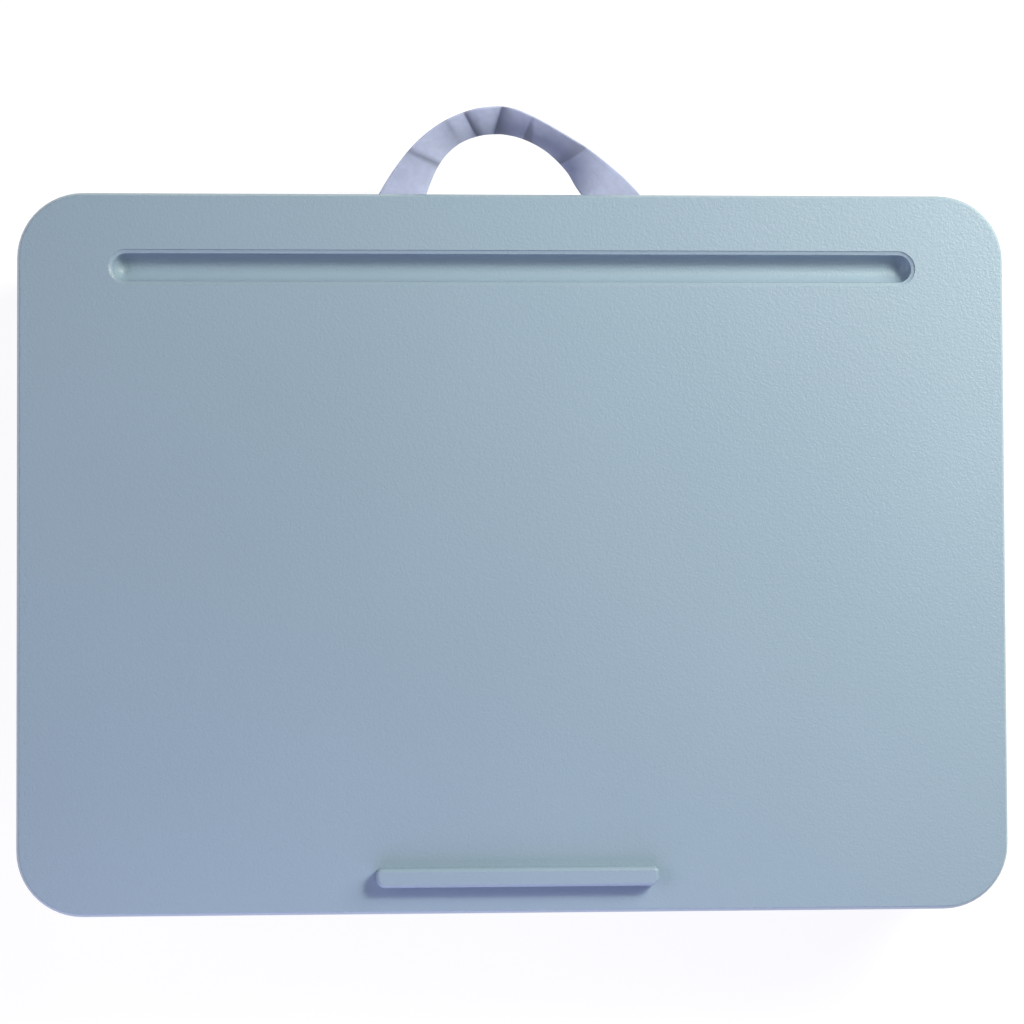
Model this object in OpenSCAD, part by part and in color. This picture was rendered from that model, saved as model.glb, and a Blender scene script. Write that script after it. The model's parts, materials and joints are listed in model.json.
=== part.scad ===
// Lap desk with a lifting lid over a shallow storage tray, on a soft cushion, with a cloth carry strap.
// Millimetres. The origin is on the surface that the cushion rests on, under the middle of the lid.
// +X is to the user's right, +Y is away from the user, towards the strap, and +Z is up.

/* [Lid] */
// Width of the lid
lid_w = 445; // [420:1:480]
// Depth of the lid, front to back
lid_d = 323; // [310:1:360]
// Corner radius of the lid, seen from above
lid_corner_r = 29.5; // [26:0.5:34]
// Radius of the rounded top edge
lid_edge_r = 0.8; // [0.5:0.1:1.2]
// Height of the sloping band that runs round under the top edge
lid_band_h = 4; // [3:0.5:5]
// How far the sloping band draws in towards the top
lid_band_in = 1.5; // [1:0.1:1.8]
// Thickness of the flat top
lid_top_t = 2.5; // [2:0.1:3]
// Thickness of the skirt that hangs round the edge
lid_wall = 2.5; // [2:0.1:3]
// Height of the lid's side, from the skirt's lower edge to the top face
lid_side_h = 14; // [13:0.5:16]
// Thickness of the stiffening ribs under the lid
rib_t = 1.6; // [1.2:0.1:2.4]
// Depth of the stiffening ribs under the lid
rib_h = 5; // [3:0.5:6]
// Ribs that run front to back
rib_columns = 7; // [3:1:9]
// Ribs that run side to side
rib_rows = 4; // [2:1:5]

/* [Media slot] */
// Overall length of the slot that holds a phone or tablet
slot_len = 363.5; // [300:0.5:370]
// Overall width of the slot, lip to lip
slot_w = 16; // [14:0.5:18]
// Depth of the slot
slot_depth = 9; // [8.5:0.1:10]
// Width of the slot's sunken lip
slot_lip_w = 1.8; // [1:0.1:2]
// Distance from the lid's back edge to the slot's centre line
slot_from_back = 33.7; // [33:0.1:40]

/* [Device ledge] */
// Length of the ledge that stops a laptop
ledge_len = 126; // [110:1:160]
// Front to back size of the ledge
ledge_w = 8.5; // [8.5:0.1:12]
// Height of the ledge above the lid
ledge_h = 7.5; // [6:0.1:10]
// Distance from the lid's front edge to the ledge
ledge_from_front = 12.5; // [10:0.1:16]
// Radius of the two corners that face the user, seen from above
ledge_front_r = 4; // [2.4:0.1:4]
// Radius of the two corners that face the laptop, seen from above
ledge_back_r = 2.4; // [2.2:0.1:3]
// Radius of the ledge's top edge
ledge_edge_r = 2; // [1:0.1:2.2]
// Distance of each of the ledge's two screws from the middle
ledge_screw_x = 45; // [30:0.5:50]

/* [Tray] */
// Depth of the storage space, from the tray's floor to its rim
tray_depth = 25.5; // [24:0.5:40]
// Thickness of the tray's inner wall
tray_wall = 2.5; // [2:0.1:3]
// Thickness of the tray's floor
tray_floor = 2.5; // [2:0.1:3]
// Thickness of the outer apron
apron_t = 2.2; // [1.8:0.1:2.6]
// How far the apron draws in towards its foot
apron_draft = 3.5; // [2:0.1:5]
// Height of the hidden space under the tray's floor
cavity_h = 4; // [4:0.1:6]
// Gap between the tray's rim and the lid's skirt
skirt_gap = 1.2; // [0.8:0.1:1.6]
// Gap between the tray's shoulder and the lid's skirt
parting_gap = 0.8; // [0.5:0.1:1.2]
// Front to back size of the pen tray
pen_tray_d = 58; // [45:1:70]
// Width of the side bin
side_bin_w = 116; // [80:1:116]
// Thickness of the dividers
divider_t = 1.8; // [1.5:0.1:2.5]
// Height of the dividers
divider_h = 15.5; // [10:0.5:16]
// Width of the finger recess in the tray's front, under the lid's edge
finger_w = 84; // [70:1:100]
// How far the finger recess goes in from the front
finger_depth = 12; // [9:0.5:16]

/* [Hinges] */
// Distance of each hinge from the middle
hinge_x = 140; // [120:1:160]
// Outer diameter of the hinge barrels
barrel_d = 8; // [7:0.1:9]
// Diameter of the steel hinge pins
hinge_pin_d = 3; // [2.5:0.1:3.5]
// Radial running clearance between a pin and the lid's barrel
hinge_run = 0.06; // [0.02:0.01:0.1]
// Length of the lid's barrel
lid_barrel_len = 18; // [14:1:26]
// Length of each of the tray's barrels
tray_barrel_len = 8; // [6:1:12]
// Gap between barrels along the pin
barrel_gap = 0.4; // [0.3:0.1:0.8]
// Gap round the barrels, to the tray in front and to the skirt behind
hinge_gap = 1; // [0.8:0.1:1.5]
// Height of the hinge pin above the skirt's lower edge
hinge_rise = 2.5; // [2:0.1:3]

/* [Bumpers] */
// Diameter of a bumper's head
bumper_d = 8; // [7:0.1:9]
// Thickness of a bumper's head
bumper_t = 1.6; // [1.2:0.1:2.5]
// Diameter of a bumper's stem
bumper_stem_d = 3; // [2.5:0.1:3.5]

/* [Cushion] */
// Height of the cushion, from the rest surface to the board
cushion_h = 41; // [36:1:60]
// Thickness of the board that carries the cushion
board_t = 3; // [2.5:0.1:4]
// Thickness of the cushion's cloth cover
cover_t = 1; // [0.8:0.1:1.2]
// Width of the cover's edge that is folded over the board and stapled
cover_fold = 14; // [12:1:18]
// How far the cushion's sides swell past the board
cushion_swell = 3; // [1:0.1:3.5]
// Height of the cushion's lower seam
cushion_seam_h = 8; // [6:0.5:12]
// Screws along the front and along the back that hold the board to the tray
board_screws_in_row = 4; // [3:1:5]

/* [Carry strap] */
// Width of the cloth strap
strap_w = 20; // [16:0.5:22]
// Thickness of the cloth strap
strap_t = 2; // [1.5:0.1:2.5]
// Distance from the middle to each end of the strap
strap_end_x = 57.5; // [50:0.5:70]
// How far the top of the strap's arch stands out from its root line
strap_reach = 53; // [48:0.5:60]
// Steepest roll of the strap in its arch, in degrees
strap_roll = 56; // [30:1:60]
// Distance between the two screws of a strap clamp
clamp_pitch = 10; // [8:0.5:11]

/* [Fasteners] */
// Shank diameter of the board's and the strap's screws
screw_d = 3.4; // [3:0.1:3.6]
// Head diameter of the screws
screw_head_d = 6.8; // [6:0.1:7.4]
// Head height of the screws
screw_head_h = 2; // [1.6:0.1:2.4]

/* [Hidden] */
$fn = 64;
eps = 0.01;
fit = 0.05; // clearance round a shank in the hole that it grips
touch = 0.3; // gap between a soft piece and what it bears on

// Heights, from the rest surface up
board_z = cushion_h;
board_top_z = board_z + board_t;
apron_foot_z = board_top_z + cover_t;
floor_under_z = apron_foot_z + cavity_h;
floor_z = floor_under_z + tray_floor;
rim_z = floor_z + tray_depth;
rim_gap = 1;
lid_under_z = rim_z + rim_gap;
lid_top_z = lid_under_z + lid_top_t;
skirt_z = lid_top_z - lid_side_h;
shoulder_z = skirt_z - parting_gap;

// Corner centres, seen from above, and radii measured out from them
corner_x = lid_w / 2 - lid_corner_r;
corner_y = lid_d / 2 - lid_corner_r;
shoulder_inset = 0.5;
rim_r = lid_corner_r - lid_wall - skirt_gap;
tray_r = rim_r - tray_wall;
shoulder_r = lid_corner_r - shoulder_inset;
foot_r = shoulder_r - apron_draft;
board_r = foot_r - cover_t - 0.5;

// The tray stops short of the lid's back edge, which leaves room for the hinges under the skirt
barrel_r = barrel_d / 2;
hinge_setback = lid_wall + barrel_d + 2 * hinge_gap;
tray_back_y = lid_d / 2 - hinge_setback;
back_corner_y = tray_back_y - shoulder_r;
tray_mid_y = (back_corner_y - corner_y) / 2;
tray_half_y = (back_corner_y + corner_y) / 2;
hinge_y = tray_back_y + hinge_gap + barrel_r;
hinge_z = skirt_z + hinge_rise;
hinge_len = lid_barrel_len + 2 * (tray_barrel_len + barrel_gap);

// The lid's soft turn from the band into the side, and its rounded inside
lid_band_soft = 5;
lid_inner_r = 2;

// Places on the lid. The slot's lip is sunk a little, falls towards the slot and ends in a small radius.
slot_y = lid_d / 2 - slot_from_back;
slot_wall = 2.2;
lip_step = 0.35;
lip_fall = 0.5;
lip_edge_r = 0.5;
slot_r = slot_w / 2 - slot_lip_w;
slot_run = slot_len - slot_w;
ledge_y = -lid_d / 2 + ledge_from_front + ledge_w / 2;

// Places in the tray
pen_divider_y = -corner_y - tray_r + pen_tray_d + divider_t / 2;
bin_divider_x = corner_x + tray_r - side_bin_w - divider_t / 2;
post_r = bumper_d / 2 + 1;
post_reach = tray_r - post_r + 1;
post_z = lid_under_z - touch - bumper_t;
bumper_stem_len = 5;
bumper_hole_spare = 1;

// The strap leaves the apron through two notches, and turns about the line just outside them
strap_z = floor_under_z - strap_t / 2;
strap_root_y = back_corner_y + foot_r + 1
  + apron_draft * (strap_z - apron_foot_z) / (shoulder_z - apron_foot_z);
notch_w = strap_w + 2;
notch_run = 20;
notch_inside = 12; // how much of the notch lies inside the root line
strap_tail_len = 24;
clamp_t = cavity_h - strap_t - 0.2;
clamp_y = strap_root_y - strap_tail_len + 6;
clamp_w = strap_w + 2;
clamp_d = 9;

// The cushion board's screws, in a front row and a back row
board_screw_inset = 14;
board_screw_front = 26;
board_screw_back = 46;
board_screw_x = corner_x - board_screw_inset;
board_screw_ys = [-corner_y - tray_r + board_screw_front, back_corner_y + tray_r - board_screw_back];
board_screw_xs = [
  for (i = [0 : board_screws_in_row - 1]) board_screw_x * (2 * i / (board_screws_in_row - 1) - 1)
];
boss_r = screw_head_d / 2 + 1;
screw_bite = cavity_h + tray_floor + board_t - 1;

plastic = [0.60, 0.69, 0.77];
cloth = [0.66, 0.69, 0.82];

// Sweeps an upright section round a rectangle with rounded corners. The section's x is measured
// outwards from the corner centres, which lie half_x and half_y from the middle.
module sweep_round(half_x, half_y) {
  for (k = [0:3]) {
    along_y = k % 2 == 0;
    translate([k == 0 || k == 3 ? half_x : -half_x, k < 2 ? half_y : -half_y, 0])
      rotate([0, 0, 90 * k])
        rotate_extrude(angle = 90) children();
    rotate([0, 0, 90 * k])
      translate([along_y ? half_x : half_y, 0, 0])
        rotate([90, 0, 0])
          linear_extrude(height = 2 * (along_y ? half_y : half_x), center = true) children();
  }
}

// A block from x = 0 to r and from z0 to z1, with its outer top corner rounded
module rounded_step(r, z0, z1, edge) {
  translate([0, z0]) square([r - edge, z1 - z0]);
  translate([0, z0]) square([r, z1 - edge - z0]);
  translate([r - edge, z1 - edge]) circle(edge);
}

// A flat plate with rounded corners, from z0 to z1, reaching r past the corner centres
module round_plate(half_x, half_y, r, z0, z1) {
  sweep_round(half_x, half_y) translate([0, z0]) square([r, z1 - z0]);
  translate([-half_x, -half_y, z0]) cube([2 * half_x, 2 * half_y, z1 - z0]);
}

// A pan head screw that points down from its head's seat at the origin
module pan_screw(d, head_d, head_h, length) {
  slot = head_d * 0.16;
  difference() {
    union() {
      translate([0, 0, -length]) cylinder(d = d, h = length + eps);
      cylinder(d = head_d, h = head_h * 0.5);
      translate([0, 0, head_h * 0.5]) cylinder(d1 = head_d, d2 = head_d * 0.6, h = head_h * 0.5);
    }
    for (turn = [0, 90])
      rotate([0, 0, turn])
        translate([-head_d * 0.27, -slot / 2, head_h * 0.45]) cube([head_d * 0.54, slot, head_h]);
  }
}

// Half of the slot's section: x is the distance from its centre line
module slot_half_section() {
  centre_z = lid_top_z - slot_depth + slot_r;
  intersection() {
    translate([0, centre_z]) circle(slot_r);
    translate([0, centre_z - slot_r - 1]) square([slot_r + 1, slot_r + 1]);
  }
  translate([0, centre_z]) square([slot_r, lid_top_z - centre_z + 1]);
  lip_z = lid_top_z - lip_step;
  brink_z = lip_z - lip_fall;
  polygon([
    [slot_r - eps, lid_top_z + 1], [slot_w / 2, lid_top_z + 1], [slot_w / 2, lip_z],
    [slot_r + lip_edge_r, brink_z], [slot_r - eps, brink_z]
  ]);
  difference() {
    translate([slot_r - eps, brink_z - lip_edge_r]) square([lip_edge_r + eps, lip_edge_r + eps]);
    translate([slot_r + lip_edge_r, brink_z - lip_edge_r]) circle(lip_edge_r);
  }
}

// The lid's section before it is hollowed: a flat top, a small rounded edge, a sloping band and a side
module lid_section() {
  lean = atan(lid_band_in / lid_band_h);
  edge_run = lid_edge_r / tan(45 + lean / 2);
  side_run = lid_band_soft * tan(lean / 2);
  brow_r = lid_corner_r - lid_band_in;
  band_foot_z = lid_top_z - lid_band_h;
  polygon([
    [0, skirt_z], [lid_corner_r, skirt_z], [lid_corner_r, band_foot_z - side_run],
    [lid_corner_r - side_run * sin(lean), band_foot_z + side_run * cos(lean)],
    [brow_r + edge_run * sin(lean), lid_top_z - edge_run * cos(lean)],
    [brow_r - edge_run, lid_top_z], [0, lid_top_z]
  ]);
  translate([brow_r - edge_run, lid_top_z - lid_edge_r]) circle(lid_edge_r);
  translate([lid_corner_r - lid_band_soft, band_foot_z - side_run]) circle(lid_band_soft);
}

// Half of the section of the trough under the lid that carries the slot
module trough_half_section() {
  centre_z = lid_top_z - slot_depth + slot_r;
  outer_r = slot_r + slot_wall;
  intersection() {
    translate([0, centre_z]) circle(outer_r);
    translate([0, centre_z - outer_r - 1]) square([outer_r + 1, outer_r + 1]);
  }
  translate([0, centre_z]) square([outer_r, lid_under_z - centre_z + lid_top_t / 2]);
}

// Runs a half section along the slot and turns it round both ends
module along_slot() {
  translate([0, slot_y, 0]) {
    for (side = [0, 1])
      mirror([0, side, 0])
        rotate([90, 0, 90]) linear_extrude(height = slot_run, center = true) children();
    for (side = [-1, 1])
      translate([side * slot_run / 2, 0, 0])
        rotate([0, 0, -90 * side]) rotate_extrude(angle = 180) children();
  }
}

module lid_ribs() {
  reach_x = corner_x + tray_r - 4;
  front_y = -corner_y - tray_r + 4;
  back_y = slot_y;
  top = lid_under_z + lid_top_t / 2;
  for (i = [0 : rib_columns - 1]) {
    x = reach_x * (2 * (i + 0.5) / rib_columns - 1);
    translate([x - rib_t / 2, front_y, lid_under_z - rib_h])
      cube([rib_t, back_y - front_y, top - lid_under_z + rib_h]);
  }
  for (j = [0 : rib_rows - 1]) {
    y = front_y + (back_y - front_y) * (j + 0.5) / rib_rows;
    translate([-reach_x, y - rib_t / 2, lid_under_z - rib_h])
      cube([2 * reach_x, rib_t, top - lid_under_z + rib_h]);
  }
}

// The lid's half of one hinge: a barrel on an arm that joins the top and the skirt
module lid_barrel() {
  translate([0, hinge_y, hinge_z])
    rotate([0, 90, 0]) cylinder(r = barrel_r, h = lid_barrel_len, center = true);
  arm_d = 2 * barrel_r + hinge_gap + lid_wall / 2;
  translate([-lid_barrel_len / 2, hinge_y - barrel_r, hinge_z])
    cube([lid_barrel_len, arm_d, lid_under_z + lid_top_t / 2 - hinge_z]);
}

module lid() {
  color(plastic)
    difference() {
      union() {
        sweep_round(corner_x, corner_y)
          difference() {
            lid_section();
            translate([-eps, 0])
              rounded_step(lid_corner_r - lid_wall + eps, skirt_z - 1, lid_under_z, lid_inner_r);
          }
        translate([-corner_x, -corner_y, lid_under_z]) cube([2 * corner_x, 2 * corner_y, lid_top_t]);
        along_slot() trough_half_section();
        lid_ribs();
        for (side = [-1, 1]) {
          translate([side * hinge_x, 0, 0]) lid_barrel();
          translate([side * ledge_screw_x, ledge_y, lid_under_z - rib_h])
            cylinder(r = boss_r, h = rib_h + lid_top_t / 2);
        }
      }
      along_slot() slot_half_section();
      for (side = [-1, 1]) {
        translate([side * hinge_x, hinge_y, hinge_z])
          rotate([0, 90, 0]) cylinder(d = hinge_pin_d + 2 * hinge_run, h = lid_barrel_len + 2, center = true);
        translate([side * ledge_screw_x, ledge_y, lid_under_z - rib_h - 1])
          cylinder(d = screw_d + 4 * fit, h = rib_h + lid_top_t + 2);
      }
    }
}

// The ledge's section at a corner of radius r, with its rounded top edge
module ledge_section(r) {
  intersection() {
    rounded_step(r, 0, ledge_h, ledge_edge_r);
    square([r + 1, ledge_h + 1]);
  }
}

module device_ledge() {
  front_x = ledge_len / 2 - ledge_front_r;
  back_x = ledge_len / 2 - ledge_back_r;
  front_y = -ledge_w / 2 + ledge_front_r;
  back_y = ledge_w / 2 - ledge_back_r;
  pilot_depth = ledge_h - 2.5;
  color(plastic)
    translate([0, ledge_y, lid_top_z])
      difference() {
        union() {
          for (side = [-1, 1]) {
            translate([side * front_x, front_y, 0]) rotate([0, 0, side < 0 ? 180 : 270])
              rotate_extrude(angle = 90) ledge_section(ledge_front_r);
            translate([side * back_x, back_y, 0]) rotate([0, 0, side < 0 ? 90 : 0])
              rotate_extrude(angle = 90) ledge_section(ledge_back_r);
            translate([side * front_x, (front_y + back_y) / 2, 0]) rotate([90, 0, side < 0 ? 180 : 0])
              linear_extrude(height = back_y - front_y, center = true) ledge_section(ledge_front_r);
          }
          translate([0, front_y, 0]) rotate([90, 0, 270])
            linear_extrude(height = 2 * front_x, center = true) ledge_section(ledge_front_r);
          translate([0, back_y, 0]) rotate([90, 0, 90])
            linear_extrude(height = 2 * back_x, center = true) ledge_section(ledge_back_r);
          translate([-front_x, front_y, 0]) cube([2 * front_x, back_y - front_y, ledge_h]);
        }
        for (side = [-1, 1])
          translate([side * ledge_screw_x, 0, -1]) cylinder(d = screw_d + 2 * fit, h = pilot_depth + 1);
      }
}

module ledge_screws() {
  color("silver")
    for (side = [-1, 1])
      translate([side * ledge_screw_x, ledge_y, lid_under_z - rib_h])
        rotate([180, 0, 0]) pan_screw(screw_d, screw_head_d, screw_head_h, rib_h + lid_top_t + ledge_h - 3);
}

// The tray's wall, shoulder and hanging apron, in one section
module tray_section() {
  inner_edge = 3;
  difference() {
    rounded_step(rim_r, floor_under_z, rim_z, 0.8);
    difference() {
      translate([-eps, floor_z]) square([tray_r + eps, rim_z]);
      difference() {
        translate([tray_r - inner_edge, floor_z - eps]) square([inner_edge + eps, inner_edge + eps]);
        translate([tray_r - inner_edge, floor_z + inner_edge]) circle(inner_edge);
      }
    }
  }
  difference() {
    polygon([
      [rim_r - eps, apron_foot_z], [foot_r, apron_foot_z], [shoulder_r, shoulder_z], [rim_r - eps, shoulder_z]
    ]);
    polygon([
      [rim_r - 1, apron_foot_z - 1], [foot_r - apron_t, apron_foot_z - 1],
      [foot_r - apron_t, apron_foot_z], [shoulder_r - apron_t, shoulder_z - apron_t],
      [rim_r - 1, shoulder_z - apron_t]
    ]);
  }
  polygon([
    [foot_r - apron_t, apron_foot_z], [foot_r, apron_foot_z],
    [shoulder_r, shoulder_z], [shoulder_r - apron_t, shoulder_z - apron_t / 2]
  ]);
}

// The tray's half of one hinge: two barrels on lugs from the back wall
module tray_barrels() {
  lug_drop = hinge_z - shoulder_z;
  for (side = [-1, 1])
    translate([side * (lid_barrel_len + tray_barrel_len + 2 * barrel_gap) / 2, 0, 0]) {
      translate([0, hinge_y, hinge_z])
        rotate([0, 90, 0]) cylinder(r = barrel_r, h = tray_barrel_len, center = true);
      translate([-tray_barrel_len / 2, tray_back_y - (shoulder_r - rim_r) - 1, shoulder_z - eps])
        cube([tray_barrel_len, hinge_y - tray_back_y + shoulder_r - rim_r + 1, lug_drop + barrel_r * 0.8]);
    }
}

// The finger recess: a rounded pocket that opens at the front, between the tray's floor and the lid's
// edge. grow gives the housing that closes it towards the storage space.
module finger_pocket(grow = 0) {
  corner = 4;
  low = floor_z + corner - grow;
  high = skirt_z + grow;
  front = -corner_y - shoulder_r - 1;
  depth = finger_depth + 1 + grow;
  for (side = [-1, 1])
    translate([side * (finger_w / 2 - corner), front, low])
      rotate([-90, 0, 0]) cylinder(r = corner + grow, h = depth);
  translate([-finger_w / 2 + corner, front, floor_z - grow])
    cube([finger_w - 2 * corner, depth, high - floor_z + grow]);
  translate([-finger_w / 2 - grow, front, low]) cube([finger_w + 2 * grow, depth, high - low]);
}

// The wall that closes the finger recess, kept behind the tray's front wall
module finger_housing() {
  intersection() {
    finger_pocket(tray_wall);
    translate([-finger_w, -corner_y - tray_r - tray_wall / 2, floor_z - tray_floor])
      cube([2 * finger_w, finger_depth * 2, tray_depth]);
  }
}

module tray_dividers() {
  low = floor_z - tray_floor / 2;
  tall = divider_h + tray_floor / 2;
  half_w = corner_x + tray_r + tray_wall / 2;
  back = back_corner_y + tray_r + tray_wall / 2;
  translate([-half_w, pen_divider_y - divider_t / 2, low]) cube([2 * half_w, divider_t, tall]);
  translate([bin_divider_x - divider_t / 2, pen_divider_y, low])
    cube([divider_t, back - pen_divider_y, tall]);
}

// Every corner post: x and y of its centre
function post_at(side_x, back) = [
  side_x * (corner_x + post_reach * cos(45)),
  back ? back_corner_y + post_reach * sin(45) : -corner_y - post_reach * sin(45)
];

module base_tray() {
  color(plastic)
    difference() {
      union() {
        translate([0, tray_mid_y, 0]) sweep_round(corner_x, tray_half_y) tray_section();
        translate([-corner_x, -corner_y, floor_under_z]) cube([2 * corner_x, 2 * tray_half_y, tray_floor]);
        tray_dividers();
        finger_housing();
        for (side = [-1, 1]) {
          translate([side * hinge_x, 0, 0]) tray_barrels();
          for (back = [false, true])
            translate(concat(post_at(side, back), [floor_z - tray_floor / 2]))
              cylinder(r = post_r, h = post_z - floor_z + tray_floor / 2);
        }
      }
      finger_pocket();
      for (side = [-1, 1]) {
        translate([side * hinge_x, hinge_y, hinge_z])
          rotate([0, 90, 0]) cylinder(d = hinge_pin_d + fit, h = hinge_len + 2, center = true);
        for (back = [false, true])
          translate(concat(post_at(side, back), [post_z - bumper_stem_len - bumper_hole_spare]))
            cylinder(d = bumper_stem_d + fit, h = 2 * bumper_stem_len);
        translate([side * strap_end_x - notch_w / 2, strap_root_y - notch_inside, apron_foot_z - 1])
          cube([notch_w, notch_run, cavity_h + 1]);
        for (step = [-0.5, 0.5])
          translate([side * strap_end_x + step * clamp_pitch, clamp_y, floor_under_z - 1])
            cylinder(d = screw_d + 4 * fit, h = tray_floor + 2);
      }
      for (x = board_screw_xs)
        for (y = board_screw_ys)
          translate([x, y, floor_under_z - 1]) cylinder(d = screw_d + 4 * fit, h = tray_floor + 2);
    }
}

module hinge_pin(side) {
  head_t = 1;
  color("silver")
    translate([side * (hinge_x + hinge_len / 2), hinge_y, hinge_z])
      rotate([0, -90 * side, 0]) {
        cylinder(d = hinge_pin_d, h = hinge_len);
        translate([0, 0, -head_t]) cylinder(d = hinge_pin_d + 1.6, h = head_t + eps);
      }
}

module bumper(side_x, back) {
  color("dimgray")
    translate(concat(post_at(side_x, back), [post_z])) {
      rotate_extrude() intersection() {
        rounded_step(bumper_d / 2, 0, bumper_t, 0.6);
        square([bumper_d, bumper_t]);
      }
      translate([0, 0, -bumper_stem_len]) cylinder(d = bumper_stem_d, h = bumper_stem_len + eps);
    }
}

module cushion_board() {
  color("burlywood")
    difference() {
      union() {
        translate([0, tray_mid_y, 0]) round_plate(corner_x, tray_half_y, board_r, board_z, board_top_z);
        for (x = board_screw_xs)
          for (y = board_screw_ys)
            translate([x, y, board_top_z - eps]) cylinder(r = boss_r, h = floor_under_z - board_top_z + eps);
      }
      for (x = board_screw_xs)
        for (y = board_screw_ys)
          translate([x, y, board_z + 0.6]) cylinder(d = screw_d + 2 * fit, h = cavity_h + board_t + 2);
    }
}

module board_screws() {
  color("silver")
    for (x = board_screw_xs)
      for (y = board_screw_ys)
        translate([x, y, floor_z]) pan_screw(screw_d, screw_head_d, screw_head_h, screw_bite);
}

// Wire staples that hold the cover's folded edge on the board, with their crowns on the cloth
module cover_staples() {
  crown = 9;
  wire = 0.7;
  inset = cover_fold * 0.55;
  columns = 9;
  rows = 6;
  reach_x = corner_x + board_r - inset;
  reach_y = tray_half_y + board_r - inset;
  color("silver")
    translate([0, tray_mid_y, 0])
      for (side = [-1, 1]) {
        for (i = [0 : columns - 1]) {
          x = corner_x * (2 * i / (columns - 1) - 1);
          if (side < 0 || abs(abs(x) - strap_end_x) > strap_w)
            translate([x, side * reach_y, 0]) staple(crown, wire);
        }
        for (j = [0 : rows - 1]) {
          y = tray_half_y * (2 * j / (rows - 1) - 1);
          translate([side * reach_x, y, 0]) rotate([0, 0, 90]) staple(crown, wire);
        }
      }
}

module staple(crown, wire) {
  translate([-crown / 2, -wire / 2, apron_foot_z]) cube([crown, wire, wire]);
}

// A ring of points round the cushion: r past the corner centres, which are drawn in by inset.
// The sides bow out by bow at their middles.
corner_steps = 6;
side_steps = 6;
function cushion_ring(r, z, inset = 0, bow = 0) = [
  for (k = [0:3])
    let (
      hx = corner_x - inset,
      hy = tray_half_y - inset,
      cx = (k == 0 || k == 3 ? 1 : -1) * hx,
      cy = (k < 2 ? 1 : -1) * hy + tray_mid_y,
      next_x = (k == 0 ? -1 : k == 1 ? -1 : 1) * hx,
      next_y = (k == 0 ? 1 : k == 3 ? 1 : -1) * hy + tray_mid_y,
      out = 90 * (k + 1)
    )
      each concat(
        [
          for (i = [0 : corner_steps])
            let (a = 90 * k + 90 * i / corner_steps)
              [cx + r * cos(a), cy + r * sin(a), z]
        ],
        [
          for (j = [1 : side_steps - 1])
            let (t = j / side_steps, b = r + bow * sin(180 * t))
              [cx + (next_x - cx) * t + b * cos(out), cy + (next_y - cy) * t + b * sin(out), z]
        ]
      )
];
ring_size = 4 * (corner_steps + side_steps);

// Joins rings into a closed skin. Both ends are closed to the last point of each, or to each other.
function skin_faces(rings) = [
  for (k = [0 : rings - 2])
    for (i = [0 : ring_size - 1])
      let (a = k * ring_size + i, b = k * ring_size + (i + 1) % ring_size)
        each [[a, b, b + ring_size], [a, b + ring_size, a + ring_size]]
];

function lerp(a, b, t) = a + (b - a) * t;

// The side and the underside of the cushion, from the board's edge down to the flat foot.
// Each row is radius, height, inset of the corner centres and bow. grow moves the surface outwards.
function cushion_profile(grow) = [
  [board_r + touch + grow, board_z, 0, 0],
  [board_r + touch + cushion_swell * 0.75 + grow, lerp(cushion_seam_h, board_z, 0.8), 0, 0.8],
  [board_r + touch + cushion_swell + grow, lerp(cushion_seam_h, board_z, 0.45), 0, 1.4],
  [board_r + touch + cushion_swell * 0.7 + grow, lerp(cushion_seam_h, board_z, 0.15), 0, 0.4],
  [board_r + touch + grow, cushion_seam_h * 0.95 - grow * 0.3, 0, -1.4],
  [board_r - 3 + grow, cushion_seam_h * 0.5 - grow * 0.7, 2.5, -1.2],
  [board_r - 5, 2 - grow, 12, -0.6],
  [board_r - 7, 1 - grow, 30, 0]
];

// The cover is one skin of cloth: outer surface down, inner surface back up, closed round its fold
module cushion_cover() {
  outer = cushion_profile(cover_t);
  inner = cushion_profile(0);
  n = len(outer);
  rings = concat(
    [cushion_ring(board_r - cover_fold, board_top_z), cushion_ring(board_r - cover_fold, apron_foot_z)],
    [cushion_ring(board_r + touch + cover_t * 0.6, apron_foot_z)],
    [cushion_ring(board_r + touch + cover_t, board_top_z)],
    [for (p = outer) cushion_ring(p[0], p[1], p[2], p[3])]
  );
  inner_rings = concat(
    [cushion_ring(board_r - cover_fold, board_top_z), cushion_ring(board_r + touch, board_top_z)],
    [for (p = inner) cushion_ring(p[0], p[1], p[2], p[3])]
  );
  outer_count = len(rings);
  inner_count = len(inner_rings);
  points = concat([for (r = rings) each r], [for (k = [1 : inner_count - 1]) each inner_rings[k]]);
  foot_centre = len(points);
  last_outer = (outer_count - 1) * ring_size;
  last_inner = foot_centre - ring_size;
  faces = concat(
    skin_faces(outer_count),
    [
      for (i = [0 : ring_size - 1])
        let (j = (i + 1) % ring_size, c = outer_count * ring_size)
          each [[j, i, c + j], [c + j, i, c + i]]
    ],
    [
      for (k = [0 : inner_count - 3])
        for (i = [0 : ring_size - 1])
          let (a = (outer_count + k) * ring_size + i, b = (outer_count + k) * ring_size + (i + 1) % ring_size)
            each [[b, a, b + ring_size], [b + ring_size, a, a + ring_size]]
    ],
    [for (i = [0 : ring_size - 1]) [last_outer + i, last_outer + (i + 1) % ring_size, foot_centre]],
    [for (i = [0 : ring_size - 1]) [last_inner + (i + 1) % ring_size, last_inner + i, foot_centre + 1]]
  );
  color(cloth)
    polyhedron(points = concat(points, [[0, tray_mid_y, 0], [0, tray_mid_y, cover_t]]), faces = faces);
}

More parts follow.
